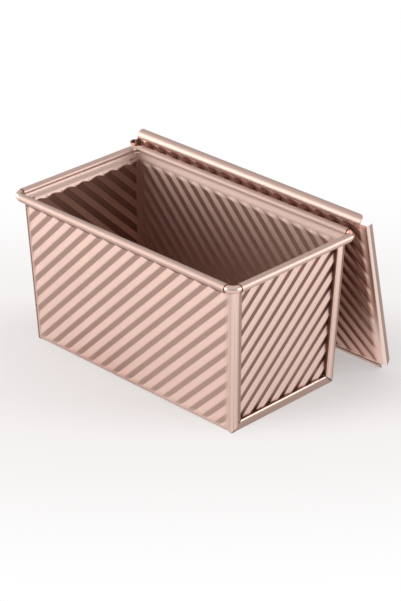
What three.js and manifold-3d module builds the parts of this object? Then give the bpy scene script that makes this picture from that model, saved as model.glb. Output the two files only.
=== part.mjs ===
// Pullman loaf pan of corrugated, coated steel sheet, with its sliding lid leaning on the back rim.
// Millimetres. X is the long way, the front faces -Y, and the pan stands on z = 0.

import * as THREE from "three";
import { mergeVertices } from "three/addons/utils/BufferGeometryUtils.js";
import Module from "manifold-3d";

const wasm = await Module();
wasm.setup();

// Body of the pan, over its outside
const panHeight = 113.8;      // table to the top of the rim rolls
const baseLength = 191.5;     // over the end seams, at the table
const baseWidth = 99.4;       // over the long walls, at the table
const endFlare = 4.75;        // how far an end leans out over the pan's height
const sideFlare = 4.3;        // how far a long wall leans out over the pan's height

// Sheet and seams
const sheet = 0.5;            // thickness of every sheet
const seamGap = 0.25;         // between the folded leaves of a seam
const seamWidth = 7;          // how far the seam's outer leaf covers the end panel

// Rim: each sheet is rolled outwards round a wire
const wireDiameter = 4.6;
const wireGap = 0.2;          // between the wire and the roll around it
const wireBend = 6;           // centre line radius of the wire at the corners
const longRimReach = 0.9;     // long wall's outside to the near side of its roll
const endRimReach = 0.6;      // seam's outside to the near side of the end roll
const neckHeight = 3.8;       // wall's top edge to the middle of the wire
const rollWrap = 320;         // degrees of sheet round the wire

// Corrugation of the pan
const wavePitch = 8.6;        // across the stripes, long walls and bottom
const endWavePitch = 9.35;    // across the stripes, end panels
const waveHeight = 1;         // valley to crest
const waveAngle = 44;         // degrees, stripes rise to the right as seen from outside
const wallCrestAt = -1.3;    // across the stripes, first crest from the middle of the wall's foot
const endCrestAt = -1.3;
const baseCrestCut = 0.4;     // part of the bottom's waves that stays flat on the table's side
const fieldMargin = 3.6;      // flat strip round a field of waves
const softFade = 7;           // run-out of the waves at a long wall's foot and right end
const shortFade = 2;          // run-out of the waves at other sides
const ridgeStartShare = 0.1;  // part of a run-out before its ridges start to rise

// Lid
const railPlay = 0.66;        // middle of a rail beyond the middle of the rim's wire, lid closed
const railRadius = 4.36;      // outside of a rail
const railWrap = 190;         // degrees of sheet in a rail
const railSetback = 0.67;     // rim's end to the end of a rail, lid closed
const flangePlay = 4.63;      // rim's end to the stop flange, lid closed
const lidFlangeDepth = 5.5;
const lidFlangeBend = 1.6;    // outside radius of its bend
const lidFlangeChamfer = 3;
const curlRadius = 3;         // outside of the pull lip's curl
const curlReach = 1.03;       // rim's end to the middle of the curl, lid closed
const curlWrap = 290;         // degrees of sheet in the curl
const curlSetback = 3;        // crease of a rail to the end of the curl
const lidWavePitch = 8.84;
const lidWaveHeight = 0.9;
const lidWaveAngle = -44.7;
const lidCrestAt = -3.7;
const lidFieldSink = 0.1;     // crests below the lid's rails
const lidLean = 12.1;         // degrees from upright
const restGap = 0.3;          // lid to the back rim
const floorGap = 0.2;         // lid to the table

// Facets
const rollStep = 18;          // degrees per facet of a roll, rail or curl
const wireSides = 12;
const bendSteps = 5;          // facets round a corner bend of the wire
const overrun = 5;            // how far a cutter passes what it cuts
const slack = 0.01;           // leftovers of a cut smaller than this are merged away

const radians = THREE.MathUtils.degToRad;
const wireRadius = wireDiameter / 2;
const rollInner = wireRadius + wireGap;
const rollOuter = rollInner + sheet;
const wireHeight = panHeight - rollOuter;
const wallTop = wireHeight - neckHeight;
const endSlope = endFlare / panHeight;
const sideSlope = sideFlare / panHeight;
const endTilt = Math.hypot(1, endSlope);
const sideTilt = Math.hypot(1, sideSlope);
const leaf = sheet + seamGap;                       // one leaf of the seam and the gap behind it
const panelFace = 3 * leaf;                         // seam's outside to the end panel's outside
const seamOutsideAt = (z) => baseLength / 2 + endSlope * z;
const wallOutsideAt = (z) => baseWidth / 2 + sideSlope * z;
const wireX = seamOutsideAt(wireHeight) + endRimReach + rollOuter;
const wireY = wallOutsideAt(wireHeight) + longRimReach + rollOuter;
const rimEnd = wireX + rollOuter;
const rimSide = wireY + rollOuter;
const railAt = wireY + railPlay;                    // middle of the lid to the middle of a rail
const railEnd = rimEnd - railSetback;
const lidFlangeAt = rimEnd + flangePlay + sheet;    // middle of the lid to the outside of its flange
const curlAt = rimEnd + curlReach;

const xAxis = new THREE.Vector3(1, 0, 0);
const yAxis = new THREE.Vector3(0, 1, 0);
const zAxis = new THREE.Vector3(0, 0, 1);

// A frame is a matrix whose axes are u to the right, v upwards and w outwards, seen from outside.
function frame(origin, u, v) {
  const w = new THREE.Vector3().crossVectors(u, v).normalize();
  return new THREE.Matrix4().makeBasis(u, v, w).setPosition(origin);
}

function solid(geometry) {
  const plain = new THREE.BufferGeometry();
  plain.setAttribute("position", geometry.getAttribute("position"));
  plain.setIndex(geometry.getIndex());
  const merged = mergeVertices(plain);
  const vertProperties = new Float32Array(merged.getAttribute("position").array);
  const triVerts = new Uint32Array(merged.getIndex().array);
  return new wasm.Manifold(new wasm.Mesh({ numProp: 3, vertProperties, triVerts }));
}

function toGeometry(body) {
  const mesh = body.getMesh();
  const geometry = new THREE.BufferGeometry();
  geometry.setAttribute("position", new THREE.BufferAttribute(mesh.vertProperties, 3));
  geometry.setIndex(new THREE.BufferAttribute(mesh.triVerts, 1));
  return geometry;
}

function placed(body, matrix) {
  return solid(toGeometry(body).applyMatrix4(matrix));
}

// An outline drawn in a frame's u and v, made `depth` thick along w.
function prism(points, depth, matrix) {
  const shape = new THREE.Shape(points);
  const geometry = new THREE.ExtrudeGeometry(shape, { depth, bevelEnabled: false });
  return solid(geometry.applyMatrix4(matrix));
}

// A closed skin over rings of points that all have the same outline order.
function loft(rings, closed = false) {
  const count = rings[0].length;
  const faces = [];
  const spans = closed ? rings.length : rings.length - 1;
  for (let ring = 0; ring < spans; ring += 1) {
    for (let side = 0; side < count; side += 1) {
      const a = ring * count + side;
      const b = ring * count + ((side + 1) % count);
      const c = ((ring + 1) % rings.length) * count + side;
      const d = ((ring + 1) % rings.length) * count + ((side + 1) % count);
      faces.push(a, b, d, a, d, c);
    }
  }
  const geometry = new THREE.BufferGeometry().setFromPoints(rings.flat());
  if (!closed) {
    const flat = rings[0].map((point) => new THREE.Vector2(point.capX ?? point.x, point.capY ?? point.y));
    const last = (rings.length - 1) * count;
    for (const [a, b, c] of THREE.ShapeUtils.triangulateShape(flat, [])) {
      faces.push(a, c, b, last + a, last + b, last + c);
    }
  }
  geometry.setIndex(faces);
  return solid(geometry);
}

// Points of a sheet bent round a middle, from one angle to another, as a closed strip outline.
function strip(u, v, outer, from, turn) {
  const steps = Math.ceil(Math.abs(turn) / rollStep);
  const arc = (radius) => Array.from({ length: steps + 1 }, (_, step) => {
    const angle = radians(from + (turn * step) / steps);
    return new THREE.Vector2(u + radius * Math.cos(angle), v + radius * Math.sin(angle));
  });
  return { outside: arc(outer), inside: arc(outer - sheet).reverse() };
}

// One field of pressed waves. Its sides are straight, and the waves run out to nothing at them.
function fieldRing(field, inset, w) {
  const low = field.bottom + inset * field.fade.bottom;
  const high = field.top - inset * field.fade.top;
  const edge = (side, v) => side.low + ((side.high - side.low) * (v - field.bottom)) / (field.top - field.bottom);
  const left = (v) => edge(field.left, v) + inset * field.fade.left;
  const right = (v) => edge(field.right, v) - inset * field.fade.right;
  return [
    new THREE.Vector3(left(low), low, w),
    new THREE.Vector3(right(low), low, w),
    new THREE.Vector3(right(high), high, w),
    new THREE.Vector3(left(high), high, w),
  ];
}

// The room below the waves, which run on past the field on every side.
function waveBody(field) {
  const { pitch, crest, valley, crestAt } = field;
  const middle = (field.bottom + field.top) / 2;
  const spread = Math.max(field.right.high, field.right.low, -field.left.high, -field.left.low);
  const half = Math.hypot(spread, field.top) + pitch;
  const turns = Math.ceil(half / pitch);
  const outline = [];
  for (let turn = -turns; turn <= turns; turn += 1) {
    outline.push(new THREE.Vector2(crestAt + turn * pitch, crest));
    outline.push(new THREE.Vector2(crestAt + (turn + 1 / 2) * pitch, valley));
  }
  outline.push(new THREE.Vector2(crestAt + (turns + 1 / 2) * pitch, valley - 2 * overrun));
  outline.push(new THREE.Vector2(crestAt - turns * pitch, valley - 2 * overrun));
  const angle = radians(field.angle);
  const across = new THREE.Vector3(-Math.sin(angle), Math.cos(angle), 0);
  const along = new THREE.Vector3(Math.cos(angle), Math.sin(angle), 0);
  const length = 2 * (half + middle);
  const matrix = new THREE.Matrix4().makeBasis(across, zAxis, along);
  matrix.setPosition(along.clone().multiplyScalar(-length / 2));
  return prism(outline, length, matrix);
}

// Presses a field into one side of a block, `depth` below the face that carries the frame.
function pressed(block, field, depth) {
  const matrix = field.frame.clone().multiply(new THREE.Matrix4().makeTranslation(0, 0, -depth));
  const waves = waveBody(field);
  const cut = loft([fieldRing(field, 1, field.valley), fieldRing(field, 0, 0), fieldRing(field, 0, overrun)]);
  const grooves = placed(cut.subtract(waves), matrix);
  if (!field.proud) return block.subtract(grooves);
  const foot = ridgeStartShare;
  const bump = loft([fieldRing(field, foot, -overrun), fieldRing(field, foot, 0), fieldRing(field, 1, field.crest)]);
  const ridges = placed(bump.intersect(waves), matrix);
  return block.add(ridges).subtract(grooves);
}

// The four frames of the pan's walls, and the one of its bottom seen from below.
const frontFrame = frame(
  new THREE.Vector3(0, -wallOutsideAt(0), 0),
  xAxis,
  new THREE.Vector3(0, -sideSlope, 1).normalize(),
);
const endFrame = frame(
  new THREE.Vector3(seamOutsideAt(0), 0, 0),
  yAxis,
  new THREE.Vector3(endSlope, 0, 1).normalize(),
);
const baseFrame = frame(new THREE.Vector3(), xAxis, yAxis.clone().negate());
const halfTurn = new THREE.Matrix4().makeRotationZ(Math.PI);

const wallField = {
  frame: frontFrame,
  pitch: wavePitch,
  angle: waveAngle,
  crestAt: wallCrestAt,
  crest: waveHeight / 2,
  valley: -waveHeight / 2,
  proud: true,
  bottom: fieldMargin / 2,
  top: (wallTop - fieldMargin / 2) * sideTilt,
  left: { low: fieldMargin - seamOutsideAt(0), high: fieldMargin - seamOutsideAt(wallTop) },
  right: { low: seamOutsideAt(0) - fieldMargin, high: seamOutsideAt(wallTop) - fieldMargin },
  fade: { left: shortFade, right: softFade, bottom: softFade, top: shortFade },
};
const baseField = {
  frame: baseFrame,
  pitch: wavePitch,
  angle: waveAngle,
  crestAt: 0,
  crest: baseCrestCut,
  valley: baseCrestCut - waveHeight,
  proud: false,
  bottom: fieldMargin - wallOutsideAt(0),
  top: wallOutsideAt(0) - fieldMargin,
  left: { low: fieldMargin - seamOutsideAt(0), high: fieldMargin - seamOutsideAt(0) },
  right: { low: seamOutsideAt(0) - fieldMargin, high: seamOutsideAt(0) - fieldMargin },
  fade: { left: shortFade, right: shortFade, bottom: shortFade, top: shortFade },
};
const seamInside = seamWidth + seamGap;
const panelField = {
  frame: new THREE.Matrix4(),
  pitch: endWavePitch,
  angle: waveAngle,
  crestAt: endCrestAt,
  crest: waveHeight / 2,
  valley: -waveHeight / 2,
  proud: true,
  bottom: seamInside,
  top: (wallTop - fieldMargin / 2) * endTilt,
  left: { low: seamInside - wallOutsideAt(seamInside), high: seamInside - wallOutsideAt(wallTop) },
  right: { low: wallOutsideAt(seamInside) - seamInside, high: wallOutsideAt(wallTop) - seamInside },
  fade: { left: shortFade, right: shortFade, bottom: shortFade, top: shortFade },
};

// Outline of the trough across its length: bottom with folded edges and leaning walls.
function troughSection(inset, fold, top) {
  const side = (z) => wallOutsideAt(z) - inset * sideTilt;
  const shape = new THREE.Shape();
  shape.moveTo(-side(top), top);
  shape.lineTo(-side(inset + fold), inset + fold);
  shape.quadraticCurveTo(-side(inset), inset, fold - side(inset), inset);
  shape.lineTo(side(inset) - fold, inset);
  shape.quadraticCurveTo(side(inset), inset, side(inset + fold), inset + fold);
  shape.lineTo(side(top), top);
  return shape.getPoints(3);
}

// The loaf-shaped block between the two end planes, each drawn back by `inset`.
function loafBlock(inset, fold, top) {
  const length = 2 * (rimEnd + overrun);
  const matrix = frame(new THREE.Vector3(-length / 2, 0, 0), yAxis, zAxis);
  const side = (z) => seamOutsideAt(z) - inset * endTilt;
  const low = -overrun;
  const high = top + overrun;
  const wedge = [
    new THREE.Vector2(-side(low), low),
    new THREE.Vector2(side(low), low),
    new THREE.Vector2(side(high), high),
    new THREE.Vector2(-side(high), high),
  ];
  const width = 2 * (rimSide + overrun);
  const across = frame(new THREE.Vector3(0, width / 2, 0), xAxis, zAxis);
  return prism(troughSection(inset, fold, top), length, matrix).intersect(prism(wedge, width, across));
}

// A fold of the seam: an outline in (distance in from the edge, depth) led round three sides of the end.
function seamSweep(outline, top) {
  const spread = Math.hypot(1, sideSlope / endTilt);
  const edge = (inset, v) => wallOutsideAt(v / endTilt) - inset * spread;
  const stations = [
    (inset) => [-edge(inset, top), top],
    (inset) => [-edge(inset, inset), inset],
    (inset) => [edge(inset, inset), inset],
    (inset) => [edge(inset, top), top],
  ];
  const rings = stations.map((station) => outline.map(([inset, depth]) => {
    const [u, v] = station(inset);
    const point = new THREE.Vector3(u, v, -depth);
    point.capX = inset;
    point.capY = -depth;
    return point;
  }));
  return loft(rings);
}

// Outline of the rim: a neck that leaves the wall's top edge, and the roll round the wire.
function rimSection(wallMiddleAt, middle) {
  const roll = strip(middle, wireHeight, rollOuter, 180, -rollWrap);
  const root = wallTop - neckHeight / 4;
  return [
    new THREE.Vector2(wallMiddleAt(root) + sheet / 4, root),
    new THREE.Vector2(wallMiddleAt(root) - sheet / 4, root),
    ...roll.outside,
    ...roll.inside,
  ];
}

function troughBody() {
  let outer = loafBlock(0, leaf, wallTop);
  let inner = loafBlock(sheet, 0, wallTop + overrun);
  for (const turn of [new THREE.Matrix4(), halfTurn]) {
    const field = { ...wallField, frame: turn.clone().multiply(wallField.frame) };
    outer = pressed(outer, field, 0);
    inner = pressed(inner, field, sheet);
  }
  outer = pressed(outer, baseField, 0);
  inner = pressed(inner, baseField, sheet);
  let body = outer.subtract(inner);

  const hem = seamSweep([
    [seamWidth + seamGap, sheet / 2],
    [seamWidth - sheet, sheet / 2],
    [seamWidth - sheet, 2 * leaf],
    [2 * leaf, 2 * leaf],
    [2 * leaf, 2 * leaf + sheet],
    [seamWidth + seamGap, 2 * leaf + sheet],
  ], wallTop * endTilt);
  const windowSide = (v) => wallOutsideAt(v / endTilt) - seamWidth;
  const window = prism([
    new THREE.Vector2(-windowSide(seamWidth), seamWidth),
    new THREE.Vector2(windowSide(seamWidth), seamWidth),
    new THREE.Vector2(windowSide(panHeight), panHeight),
    new THREE.Vector2(-windowSide(panHeight), panHeight),
  ], 2 * overrun, new THREE.Matrix4().makeTranslation(0, 0, -overrun));
  const length = 2 * (wireX - wireBend);
  const along = frame(new THREE.Vector3(-length / 2, 0, 0), yAxis, zAxis);
  const rim = prism(rimSection((z) => wallOutsideAt(z) - sheet / 2, wireY), length, along);
  for (const turn of [new THREE.Matrix4(), halfTurn]) {
    const end = turn.clone().multiply(endFrame);
    body = body.add(placed(hem, end)).subtract(placed(window, end)).add(placed(rim, turn));
  }
  return body;
}

function endPanelBody() {
  const side = (v, inset) => wallOutsideAt(v / endTilt) - inset;
  const inset = leaf + sheet / 2;
  const slab = (spread, front) => prism([
    new THREE.Vector2(-side(0, inset) - spread, inset - spread),
    new THREE.Vector2(side(0, inset) + spread, inset - spread),
    new THREE.Vector2(side(wallTop, inset) + spread, wallTop * endTilt + spread),
    new THREE.Vector2(-side(wallTop, inset) - spread, wallTop * endTilt + spread),
  ], 2 * overrun, new THREE.Matrix4().makeTranslation(0, 0, front - 2 * overrun));
  const outer = pressed(slab(0, -panelFace), panelField, panelFace);
  const inner = pressed(slab(overrun, -panelFace - sheet), panelField, panelFace + sheet);
  const hook = seamSweep([
    [leaf, leaf],
    [leaf, panelFace + sheet / 2],
    [leaf + sheet, panelFace + sheet / 2],
    [leaf + sheet, leaf + sheet],
    [seamWidth - leaf, leaf + sheet],
    [seamWidth - leaf, leaf],
  ], wallTop * endTilt);
  const middleAt = (z) => seamOutsideAt(z) - (panelFace + sheet / 2) * endTilt;
  const rollLength = 2 * (wireY - wireBend);
  const neckLength = 2 * (wallOutsideAt(wallTop) - seamInside - seamGap);
  const section = rimSection(middleAt, wireX);
  const rimAlong = (length) => prism(section, length, frame(new THREE.Vector3(0, length / 2, 0), xAxis, zAxis));
  const rollOnly = prism([
    new THREE.Vector2(wireX - rollOuter, wireHeight - rollOuter),
    new THREE.Vector2(wireX + overrun, wireHeight - rollOuter - overrun),
    new THREE.Vector2(wireX + overrun, panHeight + overrun),
    new THREE.Vector2(wireX - rollOuter, panHeight + overrun),
  ], rollLength, frame(new THREE.Vector3(0, rollLength / 2, 0), xAxis, zAxis));
  const rim = rimAlong(rollLength).intersect(rollOnly).add(rimAlong(neckLength));
  return placed(outer.subtract(inner).add(hook), endFrame).add(rim);
}

function wireBody() {
  const corners = [
    [wireX - wireBend, wireY - wireBend, 0],
    [wireBend - wireX, wireY - wireBend, 90],
    [wireBend - wireX, wireBend - wireY, 180],
    [wireX - wireBend, wireBend - wireY, 270],
  ];
  const rings = [];
  for (const [x, y, from] of corners) {
    for (let step = 0; step <= bendSteps; step += 1) {
      const turn = radians(from + (90 * step) / bendSteps);
      const ring = [];
      for (let side = 0; side < wireSides; side += 1) {
        const angle = radians((360 * side) / wireSides);
        const reach = wireBend + wireRadius * Math.cos(angle);
        const height = wireHeight - wireRadius * Math.sin(angle);
        ring.push(new THREE.Vector3(x + reach * Math.cos(turn), y + reach * Math.sin(turn), height));
      }
      rings.push(ring);
    }
  }
  return loft(rings, true);
}

// The lid in its own frame: x along the pan, y across it, z upwards when it is closed,
// with the middles of its two rails on z = 0.
function lidBody() {
  const flangeStart = lidFlangeAt - lidFlangeBend;
  const plateOutline = (spread) => [
    new THREE.Vector2(-curlAt - spread, -railAt - spread),
    new THREE.Vector2(flangeStart + spread, -railAt - spread),
    new THREE.Vector2(flangeStart + spread, railAt + spread),
    new THREE.Vector2(-curlAt - spread, railAt + spread),
  ];
  const slab = (spread, top) => {
    const matrix = new THREE.Matrix4().makeTranslation(0, 0, top - 2 * overrun);
    return prism(plateOutline(spread), 2 * overrun, matrix);
  };
  const fieldSide = curlAt - fieldMargin;
  const field = {
    frame: new THREE.Matrix4().makeTranslation(0, 0, railRadius),
    pitch: lidWavePitch,
    angle: lidWaveAngle,
    crestAt: lidCrestAt,
    crest: -lidFieldSink,
    valley: -lidFieldSink - lidWaveHeight,
    proud: false,
    bottom: sheet - railAt,
    top: railAt - sheet,
    left: { low: -fieldSide, high: -fieldSide },
    right: { low: fieldSide, high: fieldSide },
    fade: { left: softFade, right: softFade, bottom: shortFade, top: shortFade },
  };
  const plate = pressed(slab(0, railRadius), field, 0)
    .subtract(pressed(slab(overrun, railRadius - sheet), field, sheet));

  const rail = strip(railAt, 0, railRadius, 90, -railWrap);
  const railOutline = [
    new THREE.Vector2(railAt - sheet, railRadius - sheet),
    new THREE.Vector2(railAt - sheet, railRadius),
    ...rail.outside,
    ...rail.inside,
  ];
  const railFrame = frame(new THREE.Vector3(-railEnd, 0, 0), yAxis, zAxis);
  const rails = prism(railOutline, 2 * railEnd, railFrame);

  const bend = strip(flangeStart, railRadius - lidFlangeBend, lidFlangeBend, 90, -90);
  const flangeFoot = railRadius - lidFlangeDepth;
  const flangeOutline = [
    new THREE.Vector2(flangeStart - sheet, railRadius - sheet),
    new THREE.Vector2(flangeStart - sheet, railRadius),
    ...bend.outside,
    new THREE.Vector2(lidFlangeAt, flangeFoot),
    new THREE.Vector2(lidFlangeAt - sheet, flangeFoot),
    ...bend.inside,
  ];
  const acrossAt = (y) => frame(new THREE.Vector3(0, y, 0), xAxis, zAxis);
  const flange = prism(flangeOutline, 2 * railAt, acrossAt(railAt));
  const chamfer = prism([
    new THREE.Vector2(-railAt - overrun, flangeFoot - overrun),
    new THREE.Vector2(lidFlangeChamfer + overrun - railAt, flangeFoot - overrun),
    new THREE.Vector2(-railAt - overrun, flangeFoot + lidFlangeChamfer + overrun),
  ], lidFlangeBend + overrun, frame(new THREE.Vector3(flangeStart, 0, 0), yAxis, zAxis));

  const curl = strip(-curlAt, railRadius - sheet + curlRadius, curlRadius, -90, -curlWrap);
  const curlOutline = [
    new THREE.Vector2(sheet - curlAt, railRadius),
    new THREE.Vector2(sheet - curlAt, railRadius - sheet),
    ...curl.outside,
    ...curl.inside,
  ];
  const curlLength = 2 * (railAt - curlSetback);
  const lip = prism(curlOutline, curlLength, acrossAt(curlLength / 2));
  return plate.add(rails).add(placed(rails, halfTurn)).add(flange.subtract(chamfer)).add(lip);
}

const roseSteel = { color: 0xcfa393, roughness: 0.4, metalness: 0.8 };
const coatings = {
  pan_trough: roseSteel,
  end_panel_right: { ...roseSteel, color: 0xc99d8e },
  end_panel_left: { ...roseSteel, color: 0xc99d8e },
  rim_wire: { ...roseSteel, color: 0xd6aea0, roughness: 0.35 },
  lid: { ...roseSteel, color: 0xbd9183 },
};

function piece(name, body) {
  const geometry = toGeometry(body.simplify(slack)).toNonIndexed();
  geometry.computeVertexNormals();
  const mesh = new THREE.Mesh(geometry, new THREE.MeshStandardMaterial(coatings[name]));
  mesh.name = name;
  return mesh;
}

const pan = new THREE.Group();
const endPanel = endPanelBody();
const leftPanel = piece("end_panel_left", endPanel);
leftPanel.rotation.z = Math.PI;
pan.add(
  piece("pan_trough", troughBody()),
  piece("end_panel_right", endPanel),
  leftPanel,
  piece("rim_wire", wireBody()),
);

// The lid stands on its front rail and leans its outer face against the back rim.
// Its upper rail leans on the wall instead where the pan is taller than the lid reaches.
const lean = radians(lidLean);
const footHeight = railRadius + floorGap;
const reach = footHeight + 2 * railAt * Math.cos(lean);
const standOff = railRadius + rollOuter + restGap;
const footAtRim = wireY + (standOff + (wireHeight - footHeight) * Math.sin(lean)) / Math.cos(lean);
const offWall = (railRadius + restGap + waveHeight / 2) * sideTilt;
const footAtWall = wallOutsideAt(reach) + offWall + 2 * railAt * Math.sin(lean);
const meetsRim = reach + railRadius > panHeight - 2 * rollOuter;
const footY = meetsRim ? footAtRim : footAtWall;
const lidPlace = new THREE.Group();
lidPlace.position.set(
  0,
  footY - railAt * Math.sin(lean),
  footHeight + railAt * Math.cos(lean),
);
lidPlace.rotation.x = Math.PI / 2 + lean;
lidPlace.add(piece("lid", lidBody()));

const group = new THREE.Group();
group.add(pan, lidPlace);

export default group;
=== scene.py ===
import math

import bmesh
import bpy
import numpy as np
from mathutils import Matrix, Vector


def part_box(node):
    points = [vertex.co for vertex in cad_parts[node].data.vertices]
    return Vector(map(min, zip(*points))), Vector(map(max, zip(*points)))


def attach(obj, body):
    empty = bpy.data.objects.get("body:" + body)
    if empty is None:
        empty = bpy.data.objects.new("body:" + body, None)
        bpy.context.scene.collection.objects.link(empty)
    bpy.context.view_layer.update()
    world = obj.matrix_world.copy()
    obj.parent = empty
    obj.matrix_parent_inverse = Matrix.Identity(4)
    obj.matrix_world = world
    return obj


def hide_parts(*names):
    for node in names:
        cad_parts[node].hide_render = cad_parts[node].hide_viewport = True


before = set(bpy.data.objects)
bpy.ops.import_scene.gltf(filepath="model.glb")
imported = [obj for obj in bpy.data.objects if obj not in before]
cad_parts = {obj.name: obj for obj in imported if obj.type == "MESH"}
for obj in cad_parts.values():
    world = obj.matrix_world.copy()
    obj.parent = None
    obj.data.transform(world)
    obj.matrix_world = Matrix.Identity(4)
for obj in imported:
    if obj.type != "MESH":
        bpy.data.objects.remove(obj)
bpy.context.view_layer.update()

# Lengths are millimetres, and the studio's are metres, as the meshes are.
mm = 0.001


def fromFrame(metres):
    return round(metres / mm, 2)


wireLow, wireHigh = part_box("rim_wire")
wireRadius = (wireHigh.z - wireLow.z) / 2

pan = {
    "height": fromFrame(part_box("pan_trough")[1].z),
    "footHalfLength": 95.75,   # over the end seams, on the table
    "footHalfWidth": 49.7,     # over the long walls, on the table
    "endFlare": 4.75,          # how far an end leans out over the pan's height
    "sideFlare": 4.3,          # and a long wall
    "sheet": 0.5,
    "recess": 0.12,            # walls lie this far behind the seam's fold
    "cell": 9,                 # a sheet's plain cells are about this long
    "sharpAbove": 38,          # degrees, between two faces of a sheet
}
nearness = {
    "join": 1e-6,              # two runs of points meet
    "cut": 1e-4,               # a corner lies on a cut
    "merge": 0.02,
    "collapse": 0.01,
}
rim = {
    "wireX": fromFrame(wireHigh.x - wireRadius),   # middle of the wire
    "wireY": fromFrame(wireHigh.y - wireRadius),
    "wireZ": fromFrame(wireHigh.z - wireRadius),
    "rollWrap": 324,
    "bend": 6.0,
    "neckSteps": 12,
    "rollSteps": 40,
    "narrowing": (4, 10),      # steps of the neck over which a sheet narrows to its roll
}
rim["rollRadius"] = round(pan["height"] - rim["wireZ"], 2)


def endAt(z):
    return pan["footHalfLength"] + pan["endFlare"] * z / pan["height"]


def wallAt(z):
    return pan["footHalfWidth"] + pan["sideFlare"] * z / pan["height"]


def ramp(x, low, high):
    t = np.clip((np.asarray(x, float) - low) / (high - low), 0, 1)
    return t * t * (3 - 2 * t)


def arcPoints(centre, radius, fromDeg, turnDeg, steps):
    angles = np.radians(np.linspace(fromDeg, fromDeg + turnDeg, steps + 1))
    return np.stack([centre[0] + radius * np.cos(angles), centre[1] + radius * np.sin(angles)], 1)


def curvePoints(start, startWay, end, endWay, steps):
    t = np.linspace(0, 1, steps + 1)[:, None]
    a, b = np.array(start, float), np.array(end, float)
    p, q = np.array(startWay, float), np.array(endWay, float)
    return ((2 * t**3 - 3 * t**2 + 1) * a + (t**3 - 2 * t**2 + t) * p
            + (3 * t**2 - 2 * t**3) * b + (t**3 - t**2) * q)


def linePoints(start, end, step):
    a, b = np.array(start, float), np.array(end, float)
    count = max(1, int(round(np.linalg.norm(b - a) / step)))
    return a + (b - a) * np.linspace(0, 1, count + 1)[:, None]


def joinPoints(*runs):
    out = [runs[0]]
    for run in runs[1:]:
        out.append(run[1:] if np.linalg.norm(run[0] - out[-1][-1]) < nearness["join"] else run)
    return np.concatenate(out)


# Node helpers

def addNode(tree, kind, **settings):
    node = tree.nodes.new(kind)
    for key, value in settings.items():
        setattr(node, key, value)
    return node


def addMath(tree, operation, *values):
    node = addNode(tree, "ShaderNodeMath", operation=operation)
    for socket, value in zip(node.inputs, values):
        if isinstance(value, (int, float)):
            socket.default_value = value
        else:
            tree.links.new(value, socket)
    return node.outputs[0]


def addFade(tree, value, span, result=(0, 1)):
    node = addNode(tree, "ShaderNodeMapRange", interpolation_type="SMOOTHSTEP")
    tree.links.new(value, node.inputs["Value"])
    node.inputs["From Min"].default_value, node.inputs["From Max"].default_value = span
    node.inputs["To Min"].default_value, node.inputs["To Max"].default_value = result
    return node.outputs["Result"]


def addSockets(tree, way, kind, *names):
    for name in names:
        tree.interface.new_socket(name=name, in_out=way, socket_type="NodeSocket" + kind)


# Pressed stripes, one tree for every corrugated sheet

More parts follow.
